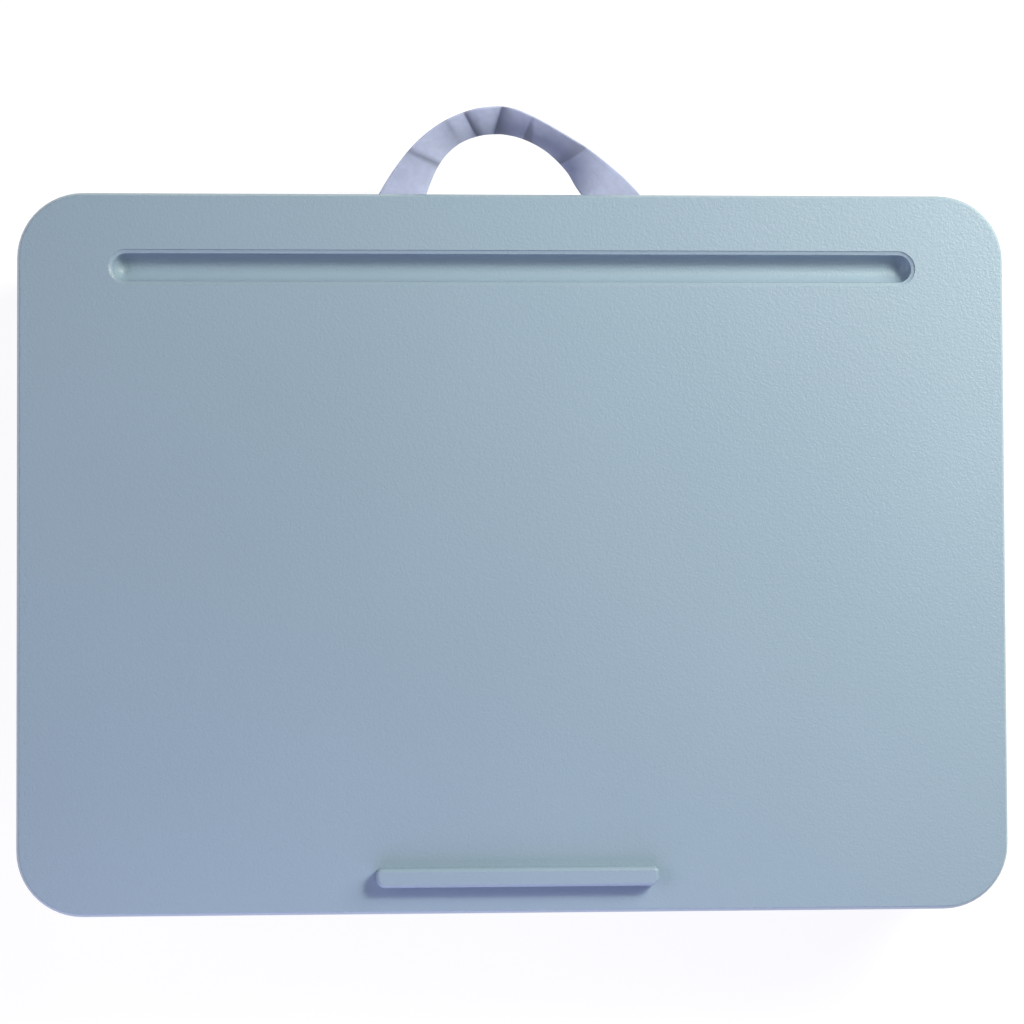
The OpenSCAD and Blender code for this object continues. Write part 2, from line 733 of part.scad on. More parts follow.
// The stuffing that fills the cover under the board
module cushion_filling() {
  profile = cushion_profile(-touch);
  rings = [
    for (k = [0 : len(profile) - 1])
      let (p = profile[k])
        cushion_ring(p[0], k == 0 ? p[1] - touch : p[1], p[2], p[3])
  ];
  points = [for (r = rings) each r];
  top = len(points);
  last = top - ring_size;
  faces = concat(
    skin_faces(len(rings)),
    [for (i = [0 : ring_size - 1]) [(i + 1) % ring_size, i, top]],
    [for (i = [0 : ring_size - 1]) [last + i, last + (i + 1) % ring_size, top + 1]]
  );
  color("white")
    polyhedron(
      points = concat(points, [[0, tray_mid_y, board_z - touch], [0, tray_mid_y, cover_t + touch]]),
      faces = faces
    );
}

// Centre line of the strap's arch seen from above, from the left end to the right end. Each row is
// the x, the reach behind the root line, the share of the full roll and the share of the width, drawn
// for an arch that ends at route_end and reaches route_reach. The cloth gathers at the top.
route_end = 57.5;
route_reach = 53;
strap_route = [
  [-route_end, 0, 0, 1], [-56.6, 5.5, 0, 1], [-54.7, 11.2, 0.03, 1], [-51.8, 16.4, 0.11, 1],
  [-48.4, 21.4, 0.23, 1], [-44.4, 27, 0.46, 0.96], [-39.8, 34.6, 0.64, 0.89], [-33.3, 42.1, 0.74, 0.81],
  [-25.3, 48, 0.81, 0.78], [-15.3, 52.1, 0.82, 0.78], [-5.4, 53.1, 0.8, 0.78], [0.5, 52.6, 0.82, 0.78],
  [6.1, 50.7, 0.94, 0.78], [12.6, 48, 1, 0.78], [19.6, 44.1, 1, 0.78], [26, 39.4, 0.93, 0.83],
  [32.1, 34.2, 0.83, 0.9], [37.5, 28.7, 0.63, 0.96], [43.7, 23.9, 0.42, 1], [48.8, 17.8, 0.25, 1],
  [53.2, 12.3, 0.12, 1], [56.8, 7, 0, 1], [route_end, 0, 0, 1]
];
// Folds across the arch: x on the route, height at the inner edge and half width
strap_folds = [[-35, 1, 5], [-15, -1.7, 2.6], [-4, -2.6, 3], [4.5, 0.9, 3], [14.5, 2, 3.5], [30.5, 2, 4.5]];
fold_fade = 0.65;
function fold_at(x) =
  [for (f = strap_folds) f[1] * exp(-pow((x - f[0]) / f[2], 2))] * [for (f = strap_folds) 1];

strap_steps = 3;
function spline(a, b, c, d, t) =
  0.5 * (2 * b + (c - a) * t + (2 * a - 5 * b + 4 * c - d) * t * t + (3 * b - a - 3 * c + d) * t * t * t);
function route_point(i) = strap_route[max(0, min(len(strap_route) - 1, i))];
strap_line = [
  for (i = [0 : len(strap_route) - 2])
    for (s = [0 : strap_steps - 1])
      spline(route_point(i - 1), route_point(i), route_point(i + 1), route_point(i + 2), s / strap_steps),
  strap_route[len(strap_route) - 1]
];

// One cross section of the strap: a thin bar with rounded edges. The roll lifts its outer edge. fold
// lifts its inner edge, and fades towards the outer one. full is the share of the whole thickness.
function strap_section(at, along, roll, fold = 0, full = 1) =
  let (
    across = [along[1], -along[0], 0],
    up = [0, 0, 1],
    wide = across * cos(roll) - up * sin(roll),
    thick = up * cos(roll) + across * sin(roll),
    t = strap_t / 2 * full,
    w = (strap_w * at[3] - strap_t) / 2
  )
    [
      for (p = [[w, t], [w + t * 0.7, t * 0.7], [w + t, 0], [w + t * 0.7, -t * 0.7], [w, -t], [0, -t],
                [-w, -t], [-w - t * 0.7, -t * 0.7], [-w - t, 0], [-w - t * 0.7, t * 0.7], [-w, t], [0, t]])
        [at[0] * strap_end_x / route_end, at[1] * strap_reach / route_reach + strap_root_y, strap_z]
          + wide * p[0] + thick * p[1] + up * fold * lerp(fold_fade, 1, (p[0] / w + 1) / 2)
    ];

// The free arch of the strap. It rolls over towards the top of the arch, as a flat band does when it
// is bent sideways, and its two ends are rounded about the line that they turn on.
module handle_strap() {
  n = len(strap_line);
  nose = [for (a = [80, 50, 25]) [strap_t / 2 * sin(a), cos(a)]];
  middle = [
    for (i = [0 : n - 1])
      let (
        at = strap_line[i],
        ends = i == 0 || i == n - 1,
        ahead = strap_line[min(n - 1, i + 1)] - strap_line[max(0, i - 1)],
        way = [ahead[0], ahead[1]],
        along = ends ? [0, i == 0 ? 1 : -1] : way / norm(way)
      )
        strap_section(at, along, strap_roll * at[2], ends ? 0 : fold_at(at[0]))
  ];
  sections = concat(
    [for (p = nose) strap_section(strap_line[0] - [0, p[0], 0, 0], [0, 1], 0, 0, p[1])],
    middle,
    [
      for (k = [len(nose) - 1 : -1 : 0])
        strap_section(strap_line[n - 1] - [0, nose[k][0], 0, 0], [0, -1], 0, 0, nose[k][1])
    ]
  );
  sides = len(sections[0]);
  last = (len(sections) - 1) * sides;
  faces = concat(
    [
      for (k = [0 : len(sections) - 2])
        for (i = [0 : sides - 1])
          let (a = k * sides + i, b = k * sides + (i + 1) % sides)
            each [[b, a, b + sides], [b + sides, a, a + sides]]
    ],
    [for (i = [0 : sides - 3]) [sides - 1, i, i + 1]],
    [for (i = [0 : sides - 3]) [last + sides - 1, last + i + 1, last + i]]
  );
  color(cloth) polyhedron(points = [for (s = sections) each s], faces = faces);
}

// The strap's two hidden ends, flat under the tray's floor
module handle_ends() {
  end_y = strap_root_y - strap_t / 2 - touch;
  color(cloth)
    for (side = [-1, 1])
      difference() {
        translate([side * strap_end_x - strap_w / 2, strap_root_y - strap_tail_len, strap_z - strap_t / 2])
          cube([strap_w, end_y - strap_root_y + strap_tail_len, strap_t]);
        for (step = [-0.5, 0.5])
          translate([side * strap_end_x + step * clamp_pitch, clamp_y, strap_z - strap_t])
            cylinder(d = screw_d + 2 * fit, h = 2 * strap_t);
      }
}

module handle_clamp(side) {
  color("silver")
    difference() {
      translate([side * strap_end_x - clamp_w / 2, clamp_y - clamp_d / 2, strap_z - strap_t / 2 - clamp_t])
        cube([clamp_w, clamp_d, clamp_t]);
      for (step = [-0.5, 0.5])
        translate([side * strap_end_x + step * clamp_pitch, clamp_y, apron_foot_z - 1])
          cylinder(d = screw_d + 2 * fit, h = cavity_h + 2);
    }
}

module handle_screws() {
  color("silver")
    for (side = [-1, 1])
      for (step = [-0.5, 0.5])
        translate([side * strap_end_x + step * clamp_pitch, clamp_y, floor_z])
          pan_screw(screw_d, screw_head_d, screw_head_h, tray_floor + strap_t + clamp_t);
}

lid();
device_ledge();
ledge_screws();
base_tray();
hinge_pin(-1);  // hinge_pin_left
hinge_pin(1);  // hinge_pin_right
bumper(-1, false);  // bumper_front_left
bumper(1, false);  // bumper_front_right
bumper(-1, true);  // bumper_back_left
bumper(1, true);  // bumper_back_right
cushion_board();
board_screws();
cover_staples();
cushion_cover();
cushion_filling();
handle_strap();
handle_ends();
handle_clamp(-1);  // handle_clamp_left
handle_clamp(1);  // handle_clamp_right
handle_screws();
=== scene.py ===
"""A lap desk: a moulded lid over a storage tray, on a stuffed cushion, with a cloth carry strap.

Metres, in the CAD's own frame: +X to the user's right, +Y away from the user, +Z up, and the origin
on the flat face that the cushion rests on. The strap is worked out in millimetres.
"""

import json
import math

import bpy
import numpy as np
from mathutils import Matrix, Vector


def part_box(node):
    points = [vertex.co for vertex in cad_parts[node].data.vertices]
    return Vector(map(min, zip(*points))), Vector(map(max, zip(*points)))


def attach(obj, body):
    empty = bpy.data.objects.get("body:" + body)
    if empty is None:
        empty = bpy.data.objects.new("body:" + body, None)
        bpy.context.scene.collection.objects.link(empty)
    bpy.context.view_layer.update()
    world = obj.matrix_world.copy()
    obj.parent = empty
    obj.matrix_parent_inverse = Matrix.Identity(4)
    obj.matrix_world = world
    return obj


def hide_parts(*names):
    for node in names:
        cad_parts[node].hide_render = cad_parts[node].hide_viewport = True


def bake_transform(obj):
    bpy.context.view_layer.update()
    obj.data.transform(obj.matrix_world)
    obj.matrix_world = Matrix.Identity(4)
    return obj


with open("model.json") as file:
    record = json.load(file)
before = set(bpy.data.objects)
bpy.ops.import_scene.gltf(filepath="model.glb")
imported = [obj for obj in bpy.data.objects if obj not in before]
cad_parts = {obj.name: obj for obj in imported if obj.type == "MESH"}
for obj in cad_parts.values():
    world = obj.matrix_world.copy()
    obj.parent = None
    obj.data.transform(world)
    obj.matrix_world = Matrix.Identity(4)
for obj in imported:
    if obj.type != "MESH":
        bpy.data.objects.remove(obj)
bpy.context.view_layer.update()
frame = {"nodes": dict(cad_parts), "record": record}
lid_top = Vector((0, 0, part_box("lid")[1].z))
MM = 0.001

# The camera, worked out from the lid's outline in the photograph: a long lens, nearly straight above
LENS_MM = 107.0
SENSOR_MM = 36.0
CLIP_START = 0.05
CAMERA_FROM_LID = Vector((-0.0809, -0.0294, 1.3614))
CAMERA_TILT_DEG = (1.993, -3.328, -0.121)

# Lamps: name, place from the middle of the lid's top, size, and strength in red, green and blue. The
# key stands to the upper right of the photograph. Its direction comes from the shadows of the ledge and
# the slot, and the strengths from the colours of the board.
LAMPS = (
    ("key", (0.80, 0.64, 0.97), 0.24, (10.4, 10.6, 9.1)),
    ("near", (0.62, 0.40, 0.50), 0.50, (6.2, 6.2, 5.6)),
    ("left", (-1.20, 0.0, 0.90), 0.80, (5.6, 5.2, 6.4)),
    ("back", (-0.70, 0.50, 0.70), 0.40, (0.8, 0.9, 0.9)),
    ("front", (-0.05, -0.42, 0.15), 0.60, (1.3, 1.2, 1.8)),
)
ROOM_LIGHT = (0.03, 0.03, 0.035)

# The floor gives off its own light, so that it comes out white with only a faint shadow on it
FLOOR_HALF = 60.0
FLOOR_COLOUR = (0.20, 0.20, 0.20)
FLOOR_GLOW = 0.87

LID_COLOUR = (0.290, 0.385, 0.470)
TRAY_COLOUR = (0.235, 0.320, 0.400)
SCREW_COLOUR = (0.62, 0.62, 0.64)
PIN_COLOUR = (0.55, 0.55, 0.57)
RUBBER_COLOUR = (0.02, 0.022, 0.026)
BOARD_COLOUR = (0.28, 0.17, 0.09)
CLOTH_COLOUR = (0.340, 0.380, 0.510)
STRAP_COLOUR = (0.490, 0.530, 0.760)

# A ridge 0.1 mm high runs round the lid's top by mistake. Slopes of less than about 13 degrees, this
# near to the lid's highest point, are shaded as level.
LEVEL_COSINE = 0.975
LEVEL_DEPTH = 0.0002


def new_material(name):
    material = bpy.data.materials.new(name)
    material.use_nodes = True
    tree = material.node_tree
    return material, tree, tree.nodes["Principled BSDF"]


def add_node(tree, kind, **inputs):
    """Adds a node and sets its input sockets, named with _ for each space."""
    node = tree.nodes.new(kind)
    for name, value in inputs.items():
        node.inputs[name.replace("_", " ")].default_value = value
    return node


def object_place(tree):
    """Each point's place in its own object, which a texture keeps to when the object moves."""
    return tree.nodes.new("ShaderNodeTexCoord").outputs["Object"]


def stored_value(tree, name):
    """A node that reads what the mesh stores for each point under this name."""
    node = tree.nodes.new("ShaderNodeAttribute")
    node.attribute_name = name
    return node


def noise(tree, vector, scale, detail=2.0, roughness=0.5):
    node = add_node(tree, "ShaderNodeTexNoise", Scale=scale, Detail=detail, Roughness=roughness)
    tree.links.new(vector, node.inputs["Vector"])
    return node.outputs["Fac"]


def ramp(tree, value, stops):
    """A colour ramp through (position, colour) stops."""
    node = tree.nodes.new("ShaderNodeValToRGB")
    tree.links.new(value, node.inputs["Fac"])
    elements = node.color_ramp.elements
    while len(elements) < len(stops):
        elements.new(0.5)
    for element, (position, colour) in zip(elements, stops):
        element.position = position
        element.color = (*colour, 1.0)
    return node.outputs["Color"]


def maths(tree, operation, a, b=None):
    """A Math node on sockets or plain numbers."""
    node = tree.nodes.new("ShaderNodeMath")
    node.operation = operation
    for socket, value in zip(node.inputs, (a, b)):
        if value is None:
            continue
        if isinstance(value, (int, float)):
            socket.default_value = value
        else:
            tree.links.new(value, socket)
    return node.outputs[0]


def mixed(tree, kind, share, first, second):
    """A mix of two VECTOR or RGBA values. The first is a socket, and the second a constant."""
    node = tree.nodes.new("ShaderNodeMix")
    node.data_type = kind
    tree.links.new(share, node.inputs[0])
    first_socket, second_socket = [s for s in node.inputs if s.type == kind][-2:]
    tree.links.new(first, first_socket)
    second_socket.default_value = second
    return next(s for s in node.outputs if s.type == kind)


def bump(tree, height, strength, distance, normal=None):
    node = add_node(tree, "ShaderNodeBump", Strength=strength, Distance=distance)
    tree.links.new(height, node.inputs["Height"])
    if normal is not None:
        tree.links.new(normal, node.inputs["Normal"])
    return node.outputs["Normal"]


def shade(colour, factor):
    return tuple(min(1.0, c * factor) for c in colour)


def grey(value):
    return (value, value, value)


def level_top(tree, place):
    """Shading normals for the lid, in which its ridge counts as level."""
    normal = tree.nodes.new("ShaderNodeTexCoord").outputs["Normal"]
    tilt, height = (tree.nodes.new("ShaderNodeSeparateXYZ") for _ in range(2))
    tree.links.new(normal, tilt.inputs[0])
    tree.links.new(place, height.inputs[0])
    nearly_level = maths(tree, "GREATER_THAN", tilt.outputs["Z"], LEVEL_COSINE)
    at_top = maths(tree, "GREATER_THAN", height.outputs["Z"], lid_top.z - LEVEL_DEPTH)
    level = maths(tree, "MULTIPLY", nearly_level, at_top)
    turn = tree.nodes.new("ShaderNodeVectorTransform")
    turn.vector_type = "NORMAL"
    turn.convert_from, turn.convert_to = "OBJECT", "WORLD"
    tree.links.new(mixed(tree, "VECTOR", level, normal, (0.0, 0.0, 1.0)), turn.inputs[0])
    return turn.outputs[0]


def moulded_plastic(name, colour, levelled=False):
    """Injection-moulded plastic with a fine spark-eroded grain and faint flow clouds."""
    material, tree, shader = new_material(name)
    place = object_place(tree)
    clouds = noise(tree, place, scale=9.0, detail=3.0)
    base = ramp(tree, clouds, [(0.3, shade(colour, 0.985)), (0.7, shade(colour, 1.015))])
    tree.links.new(base, shader.inputs["Base Color"])
    sparks = noise(tree, place, scale=1300.0, detail=2.0, roughness=0.6)
    pits = noise(tree, place, scale=900.0, detail=1.0)
    rough = ramp(tree, sparks, [(0.3, grey(0.34)), (0.7, grey(0.46))])
    tree.links.new(rough, shader.inputs["Roughness"])
    level = level_top(tree, place) if levelled else None
    fine = bump(tree, sparks, strength=0.5, distance=0.00016, normal=level)
    coarse = bump(tree, pits, strength=0.6, distance=0.00022, normal=fine)
    tree.links.new(coarse, shader.inputs["Normal"])
    return material


def steel(name, colour, roughness):
    """Plated steel with fine turned scratches."""
    material, tree, shader = new_material(name)
    scratches = noise(tree, object_place(tree), scale=2500.0, detail=3.0, roughness=0.7)
    worn = ramp(tree, scratches, [(0.35, shade(colour, 0.86)), (0.65, colour)])
    tree.links.new(worn, shader.inputs["Base Color"])
    rough = ramp(tree, scratches, [(0.3, grey(roughness * 0.8)), (0.7, grey(roughness * 1.25))])
    tree.links.new(rough, shader.inputs["Roughness"])
    tree.links.new(bump(tree, scratches, strength=0.1, distance=0.00004), shader.inputs["Normal"])
    shader.inputs["Metallic"].default_value = 1.0
    return material


def rubber(name, colour):
    """Matt rubber with a little dust on it."""
    material, tree, shader = new_material(name)
    dust = noise(tree, object_place(tree), scale=900.0, detail=3.0)
    base = ramp(tree, dust, [(0.35, colour), (0.75, shade(colour, 1.5))])
    tree.links.new(base, shader.inputs["Base Color"])
    tree.links.new(bump(tree, dust, strength=0.2, distance=0.00005), shader.inputs["Normal"])
    shader.inputs["Roughness"].default_value = 0.75
    return material


def fibreboard(name, colour):
    """Pressed board with short pale and dark fibres."""
    material, tree, shader = new_material(name)
    fibres = noise(tree, object_place(tree), scale=380.0, detail=6.0, roughness=0.75)
    base = ramp(tree, fibres, [(0.3, shade(colour, 0.6)), (0.5, colour), (0.72, shade(colour, 1.5))])
    tree.links.new(base, shader.inputs["Base Color"])
    tree.links.new(bump(tree, fibres, strength=0.4, distance=0.0001), shader.inputs["Normal"])
    shader.inputs["Roughness"].default_value = 0.85
    return material


def cloth(name, colour, thread, weight, sheen, painted_fold_shade=0.0):
    """Woven cloth, with threads this far apart. The mesh stores each point's place on the flat cloth.
    The last argument is painted shade: how much darker the cloth is made on the side of each fold that
    faces left, away from the key lamp."""
    material, tree, shader = new_material(name)
    place = stored_value(tree, "cloth_place").outputs["Vector"]
    axes = tree.nodes.new("ShaderNodeSeparateXYZ")
    tree.links.new(place, axes.inputs[0])
    warp, weft = (
        maths(tree, "SINE", maths(tree, "MULTIPLY", axis, 2 * math.pi / thread))
        for axis in axes.outputs[:2]
    )
    weave = maths(tree, "MULTIPLY", warp, weft)
    slubs = noise(tree, place, scale=260.0, detail=3.0, roughness=0.65)
    mottle = maths(tree, "ADD", slubs, maths(tree, "MULTIPLY", weave, 0.07))
    base = ramp(tree, mottle, [(0.3, shade(colour, 0.93)), (0.7, shade(colour, 1.05))])
    # Painted shade: the cloth is darker on the sides of folds that face left, by the share that the
    # mesh stores
    if painted_fold_shade:
        side = stored_value(tree, "painted_fold_side").outputs["Fac"]
        base = mixed(tree, "RGBA", side, base, (*shade(colour, 1 - painted_fold_shade), 1.0))
    tree.links.new(base, shader.inputs["Base Color"])
    fuzz = bump(tree, slubs, strength=0.35, distance=0.0003 * weight)
    woven = bump(tree, weave, strength=0.6, distance=0.00012 * weight, normal=fuzz)
    tree.links.new(woven, shader.inputs["Normal"])
    shader.inputs["Roughness"].default_value = 0.82
    shader.inputs["Sheen Weight"].default_value = sheen
    shader.inputs["Sheen Roughness"].default_value = 0.5
    return material


def set_material(obj, material):
    obj.data.materials.clear()
    obj.data.materials.append(material)


def dress_solids():
    """Gives each rigid solid of the CAD the material of its slot."""
    materials = {
        "lid_plastic": moulded_plastic("lid_plastic", LID_COLOUR, levelled=True),
        "tray_plastic": moulded_plastic("tray_plastic", TRAY_COLOUR),
        "screw_steel": steel("screw_steel", SCREW_COLOUR, 0.32),
        "pin_steel": steel("pin_steel", PIN_COLOUR, 0.25),
        "bumper_rubber": rubber("bumper_rubber", RUBBER_COLOUR),
        "fibreboard": fibreboard("fibreboard", BOARD_COLOUR),
    }
    for part in frame["record"]["subparts"]:
        if part["material_slot"] in materials:
            set_material(frame["nodes"][part["node"]], materials[part["material_slot"]])


def cad_box(node):
    """The low and high corners of a node's solid, to a hundredth of a millimetre."""
    return [[round(value, 5) for value in corner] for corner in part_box(node)]


# The cushion. Its rings run round the rounded rectangle of the board's edge, and each lies some reach
# out from the centres of the corners.
board_low, board_high = cad_box("cushion_board")
BOARD_R = 0.024
BOARD_T = 0.003
CORNER_CENTRE_X = board_high[0] - BOARD_R
CORNER_CENTRE_Y = (board_high[1] - board_low[1]) / 2 - BOARD_R
CUSHION_MID_Y = (board_high[1] + board_low[1]) / 2

# The cover's edge, folded over the board as far in as FOLD_IN. The filling's face lies just under the
# board.
FILLING_GAP = 0.0001
FOLD_GAP = 0.00005
BOARD_UNDER_Z = board_low[2] - FILLING_GAP
FOLD_UNDER_Z = board_low[2] + BOARD_T + FOLD_GAP
FOLD_TOP_Z = cad_box("cushion_cover")[1][2]
FOLD_IN = 0.014
FOLD_OUT = 0.0004
BOARD_GAP = 0.0002

# The cover before it is blown up. Its side starts SIDE_DROP below the fold's top and SIDE_OUT past the
# board's edge, and stands out by SIDE_SWELL more at half height. Each ring from the seam to the foot
# has its reach and its height.
SIDE_DROP = 0.001
SIDE_OUT = 0.0012
SIDE_SWELL = 0.0022
SIDE_RINGS = 9
SEAM_Z = 0.0085
FOOT_RINGS = ((0.0225, 0.0052), (0.0195, 0.0026), (0.0155, 0.0012), (0.011, 0.0008))
CELLS_X = 96
CELLS_Y = 66

# The piping, and how much of its radius it stands out from the seam
PIPING_R = 0.0019
PIPING_OUT = 0.6
PIPING_SIDES = 12


def perimeter():
    """Points evenly spaced along the board's edge, from the middle of one corner to the middle of
    the next. Each row is the x and y of the centre that it lies out from, and its direction out."""
    half = np.array([CORNER_CENTRE_X, CORNER_CENTRE_Y])
    signs = np.array([(1, 1), (-1, 1), (-1, -1), (1, -1)])
    half_corner = BOARD_R * math.pi / 4
    rows = []
    for k in range(4):
        here, there = signs[k] * half, signs[(k + 1) % 4] * half
        straight = np.abs(there - here).sum()
        cells = CELLS_X if k % 2 == 0 else CELLS_Y
        for i in range(cells):
            run = (2 * half_corner + straight) * i / cells
            turn = min(run, half_corner) + max(0.0, run - half_corner - straight)
            angle = math.radians(45 + 90 * k) + turn / BOARD_R
            centre = here + (there - here) * min(max(run - half_corner, 0.0), straight) / straight
            rows.append((centre[0], centre[1] + CUSHION_MID_Y, math.cos(angle), math.sin(angle)))
    return np.array(rows)


def ring(around, out, z):
    """The ring that lies this far out past the corner centres, at height z."""
    points = np.empty((len(around), 3))
    points[:, :2] = around[:, :2] + around[:, 2:] * out
    points[:, 2] = z
    return points


def panel_inside(edge):
    """Fills a closed ring with a grid. Returns the inner points and the grid of point numbers, in
    which numbers under the ring's length are the ring's own."""
    wide, deep, count = CELLS_X, CELLS_Y, len(edge)
    back = [(wide - i) % count for i in range(wide + 1)]
    left = [(wide + deep - j) % count for j in range(deep + 1)]
    front = [(wide + deep + i) % count for i in range(wide + 1)]
    right = [(2 * wide + deep + j) % count for j in range(deep + 1)]
    grid = np.zeros((wide + 1, deep + 1), int)
    grid[:, deep], grid[:, 0], grid[0, :], grid[wide, :] = back, front, left, right
    inner = []
    for i in range(1, wide):
        for j in range(1, deep):
            s, t = i / wide, j / deep
            across = edge[left[j]] * (1 - s) + edge[right[j]] * s
            along = edge[front[i]] * (1 - t) + edge[back[i]] * t
            corners = (edge[left[0]] * (1 - s) + edge[right[0]] * s) * (1 - t)
            corners += (edge[left[deep]] * (1 - s) + edge[right[deep]] * s) * t
            grid[i, j] = count + len(inner)
            inner.append(across + along - corners)
    return np.array(inner), grid


def grid_faces(grid, edge_start, inner_start, ring_length, flip=False):
    """Quads of a panel, where the ring's points start at edge_start and the inner ones elsewhere."""
    numbers = np.where(grid < ring_length, grid + edge_start, grid - ring_length + inner_start)
    faces = []
    for i in range(grid.shape[0] - 1):
        for j in range(grid.shape[1] - 1):
            quad = [numbers[i, j], numbers[i, j + 1], numbers[i + 1, j + 1], numbers[i + 1, j]]
            faces.append([int(q) for q in (quad[::-1] if flip else quad)])
    return faces


def ring_faces(rings, size, closed=False):
    """Quads between each ring of so many points and the next, and back to the first one if closed."""
    faces = []
    for k in range(rings if closed else rings - 1):
        here, ahead = k * size, (k + 1) % rings * size
        for i in range(size):
            j = (i + 1) % size
            faces.append([here + i, ahead + i, ahead + j, here + j])
    return faces


def add_to_scene(name, data):
    obj = bpy.data.objects.new(name, data)
    bpy.context.collection.objects.link(obj)
    return obj


def make_object(name, points, faces):
    mesh = bpy.data.meshes.new(name)
    mesh.from_pydata([tuple(p) for p in points], [], faces)
    mesh.shade_smooth()
    return add_to_scene(name, mesh)


def positions(mesh):
    points = np.empty(len(mesh.vertices) * 3)
    mesh.vertices.foreach_get("co", points)
    return points.reshape(-1, 3)


def run_along(line):
    """The length along a line of points, up to each of them."""
    return np.concatenate([[0.0], np.cumsum(np.linalg.norm(np.diff(line, axis=0), axis=1))])


def store(obj, name, kind, field, values):
    """Stores a value for each point of the object's mesh."""
    attribute = obj.data.attributes.new(name, kind, "POINT")
    attribute.data.foreach_set(field, np.asarray(values, dtype=np.float32).ravel())


def store_cloth_place(obj, places):
    """Stores each point's place on the flat cloth, for the weave."""
    store(obj, "cloth_place", "FLOAT_VECTOR", "vector", places)


def closed_tube(name, line, radius, sides):
    """A round tube along a closed line of points."""
    along = np.roll(line, -1, axis=0) - np.roll(line, 1, axis=0)
    along /= np.linalg.norm(along, axis=1, keepdims=True)
    side = np.cross(along, [0.0, 0.0, 1.0])
    side /= np.linalg.norm(side, axis=1, keepdims=True)
    up = np.cross(side, along)
    turns = np.arange(sides) * 2 * math.pi / sides
    columns = [line + radius * (side * math.cos(a) + up * math.sin(a)) for a in turns]
    points = np.stack(columns, axis=1).reshape(-1, 3)
    obj = make_object(name, points, ring_faces(len(line), sides, closed=True))
    places = np.zeros((len(line), sides, 3))
    places[:, :, 0] = run_along(line)[:, None]
    places[:, :, 1] = turns * radius
    store_cloth_place(obj, places)
    return obj


# The simulation that stuffs the cushion. Slack below 0 lets the cloth grow, and SEAM_DRAW shrinks it at
# the seam. No point moves further than MOST_MOVE.
SIM_FRAMES = 24
SIM_PRESSURE = 3.0
SIM_SLACK = -0.010
SEAM_DRAW = 0.03
MOST_MOVE = 0.006


def stuff(points, faces, pinned, seam):
    """Blows the cover up against the floor and returns its points. Pinned rows keep their place."""
    cover = make_object("cover_sim", points, faces)
    for name, rows in (("pinned", pinned), ("seam", seam)):
        cover.vertex_groups.new(name=name).add(rows, 1.0, "REPLACE")
    modifier = cover.modifiers.new("cloth", "CLOTH")
    settings = modifier.settings
    settings.quality = 6
    settings.mass = 0.2
    settings.tension_stiffness = settings.compression_stiffness = 12.0
    settings.shear_stiffness = 4.0
    settings.bending_stiffness = 0.3
    settings.use_pressure = True
    settings.uniform_pressure_force = SIM_PRESSURE
    settings.shrink_min, settings.shrink_max = SIM_SLACK, SEAM_DRAW
    settings.vertex_group_shrink = "seam"
    settings.vertex_group_mass = "pinned"
    settings.effector_weights.gravity = 0.0
    modifier.collision_settings.distance_min = 0.0006
    modifier.collision_settings.use_self_collision = False
    bpy.ops.mesh.primitive_plane_add(size=1.2, location=(0, 0, 0))
    table = bpy.context.object
    table.modifiers.new("collision", "COLLISION")
    table.collision.thickness_outer = 0.0004
    scene = bpy.context.scene
    for step in range(1, SIM_FRAMES + 1):
        scene.frame_set(step)
    shaped = positions(cover.evaluated_get(bpy.context.evaluated_depsgraph_get()).data)
    scene.frame_set(1)
    bpy.data.objects.remove(table)
    bpy.data.objects.remove(cover)
    move = shaped - points
    size = np.linalg.norm(move, axis=1, keepdims=True)
    return points + move * np.minimum(1.0, MOST_MOVE / np.maximum(size, 1e-9))


def side_rings(around):
    """Rings down the cover's side to its seam, and then in under it to its foot."""
    heights = np.linspace(FOLD_TOP_Z - SIDE_DROP, SEAM_Z, SIDE_RINGS + 1)
    shares = (heights[0] - heights) / (heights[0] - heights[-1])
    rings = [
        ring(around, BOARD_R + SIDE_OUT + SIDE_SWELL * math.sin(math.pi * share), z)
        for share, z in zip(shares, heights)
    ]
    return rings + [ring(around, out, z) for out, z in FOOT_RINGS]


def folded_edge(around):
    """Rings up the board's edge, in over it under the fold, and back out along the fold's top."""
    return [
        ring(around, BOARD_R + BOARD_GAP, BOARD_UNDER_Z),
        ring(around, BOARD_R + BOARD_GAP, FOLD_UNDER_Z),
        ring(around, BOARD_R - FOLD_IN, FOLD_UNDER_Z),
        ring(around, BOARD_R - FOLD_IN, FOLD_TOP_Z),
        ring(around, BOARD_R + FOLD_OUT, FOLD_TOP_Z),
    ]


def flat_places(points, count, rings):
    """The place of each cushion point on the flat cloth: the rings as one long side band, and the
    rest as a panel."""
    places = points.copy()
    for k in range(rings):
        rows = slice(k * count, (k + 1) * count)
        places[rows, 0] = run_along(points[rows, :2])
        places[rows, 1] = points[rows, 2]
        places[rows, 2] = 0.0
    return places


def apply_modifiers(obj):
    """Replaces the object's mesh by its shape with all modifiers."""
    shaped = obj.evaluated_get(bpy.context.evaluated_depsgraph_get())
    mesh = bpy.data.meshes.new_from_object(shaped)
    obj.modifiers.clear()
    obj.data = mesh


